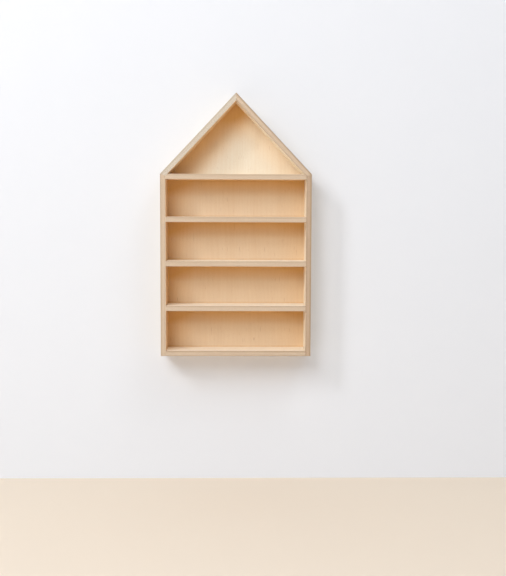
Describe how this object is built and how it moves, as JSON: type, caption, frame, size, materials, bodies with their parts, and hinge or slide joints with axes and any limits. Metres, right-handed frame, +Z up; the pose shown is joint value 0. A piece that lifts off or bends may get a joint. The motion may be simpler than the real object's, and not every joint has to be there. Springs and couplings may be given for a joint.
{
  "type": "house-shaped figurine shelf",
  "caption": "Wall-hung display shelf in the outline of a gabled house, open at the front, with shallow bays and an attic, of birch plywood with a thin back panel.",
  "frame": {"origin": "on the underside, midway across the width and the depth", "axes": "+Z up, along the longest side; -Y is the open front and +Y the side that lies against the wall; X across the shelf"},
  "size_m": [0.43, 0.092, 0.7478],
  "materials": {
    "birch_board": "clear matt lacquer over pale birch veneer, plies bare at the edges",
    "birch_panel": "clear matt lacquer over pale birch veneer, upright grain",
    "beech": "unfinished",
    "zinc_steel": "bright zinc plating"
  },
  "bodies": {
    "root": {"left_side": "birch_board", "left_roof": "birch_board", "right_side": "birch_board", "right_roof": "birch_board", "bottom_board": "birch_board", "lower_shelf": "birch_board", "middle_shelf": "birch_board", "upper_shelf": "birch_board", "attic_floor": "birch_board", "back_panel": "birch_panel", "bottom_left_front_dowel": "beech", "bottom_left_back_dowel": "beech", "bottom_right_front_dowel": "beech", "bottom_right_back_dowel": "beech", "lower_left_front_dowel": "beech", "lower_left_back_dowel": "beech", "lower_right_front_dowel": "beech", "lower_right_back_dowel": "beech", "middle_left_front_dowel": "beech", "middle_left_back_dowel": "beech", "middle_right_front_dowel": "beech", "middle_right_back_dowel": "beech", "upper_left_front_dowel": "beech", "upper_left_back_dowel": "beech", "upper_right_front_dowel": "beech", "upper_right_back_dowel": "beech", "attic_left_front_dowel": "beech", "attic_left_back_dowel": "beech", "attic_right_front_dowel": "beech", "attic_right_back_dowel": "beech", "left_eave_spline": "birch_board", "right_eave_spline": "birch_board", "ridge_spline": "birch_board", "left_hanger_plate": "zinc_steel", "right_hanger_plate": "zinc_steel", "left_hanger_left_screw": "zinc_steel", "left_hanger_right_screw": "zinc_steel", "right_hanger_left_screw": "zinc_steel", "right_hanger_right_screw": "zinc_steel", "bottom_panel_screw_1": "zinc_steel", "bottom_panel_screw_2": "zinc_steel", "right_side_panel_screw_1": "zinc_steel", "right_side_panel_screw_2": "zinc_steel", "right_side_panel_screw_3": "zinc_steel", "right_side_panel_screw_4": "zinc_steel", "right_roof_panel_screw_1": "zinc_steel", "right_roof_panel_screw_2": "zinc_steel", "left_roof_panel_screw_1": "zinc_steel", "left_roof_panel_screw_2": "zinc_steel", "left_side_panel_screw_1": "zinc_steel", "left_side_panel_screw_2": "zinc_steel", "left_side_panel_screw_3": "zinc_steel", "left_side_panel_screw_4": "zinc_steel"}
  },
  "joints": []
}
